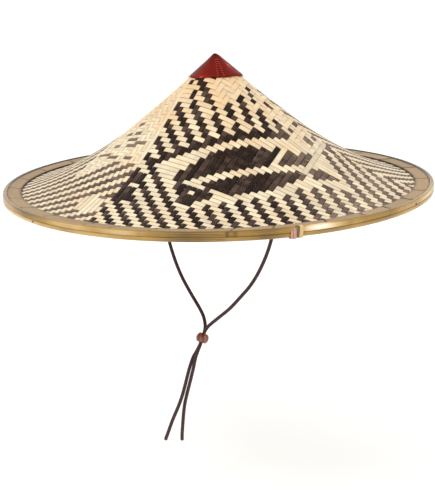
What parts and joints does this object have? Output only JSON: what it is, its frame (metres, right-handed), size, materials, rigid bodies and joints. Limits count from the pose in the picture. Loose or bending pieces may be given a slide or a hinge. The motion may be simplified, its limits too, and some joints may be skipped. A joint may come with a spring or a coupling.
{
  "type": "conical bamboo hat",
  "caption": "Wide conical sun hat plaited from dark and natural bamboo, with a leather tip, a split-bamboo rim, a head ring and a beaded chin cord.",
  "frame": {"origin": "middle of the head ring, on the hat's axis, where a head holds the hat", "axes": "+Z along the hat's axis towards its tip, -Y towards the side that the picture shows, +X to the right of that view"},
  "size_m": [0.5, 0.5, 0.4523],
  "materials": {
    "bamboo_splints": "flat split bamboo, dark-dyed and natural, plaited, matt with a slight sheen",
    "red_leather": "red leather, waxed, lightly creased, stitched seam",
    "bamboo_skin": "grey-khaki bamboo skin with slits, matt",
    "split_bamboo": "split bamboo with its glossy outer skin, yellow olive",
    "pale_cane": "pale cane strip, wound tight, satin",
    "brown_cord": "round braided cord, dark brown, matt",
    "turned_wood": "turned reddish wood, polished"
  },
  "bodies": {
    "root": {"woven_shell": "bamboo_splints", "tip_cap": "red_leather", "rim_band": "bamboo_skin", "upper_hoop": "split_bamboo", "lower_hoop": "split_bamboo", "hoop_binding": "pale_cane", "head_ring": "split_bamboo", "cord_near": "brown_cord", "cord_far": "brown_cord", "bead": "turned_wood"}
  },
  "joints": []
}
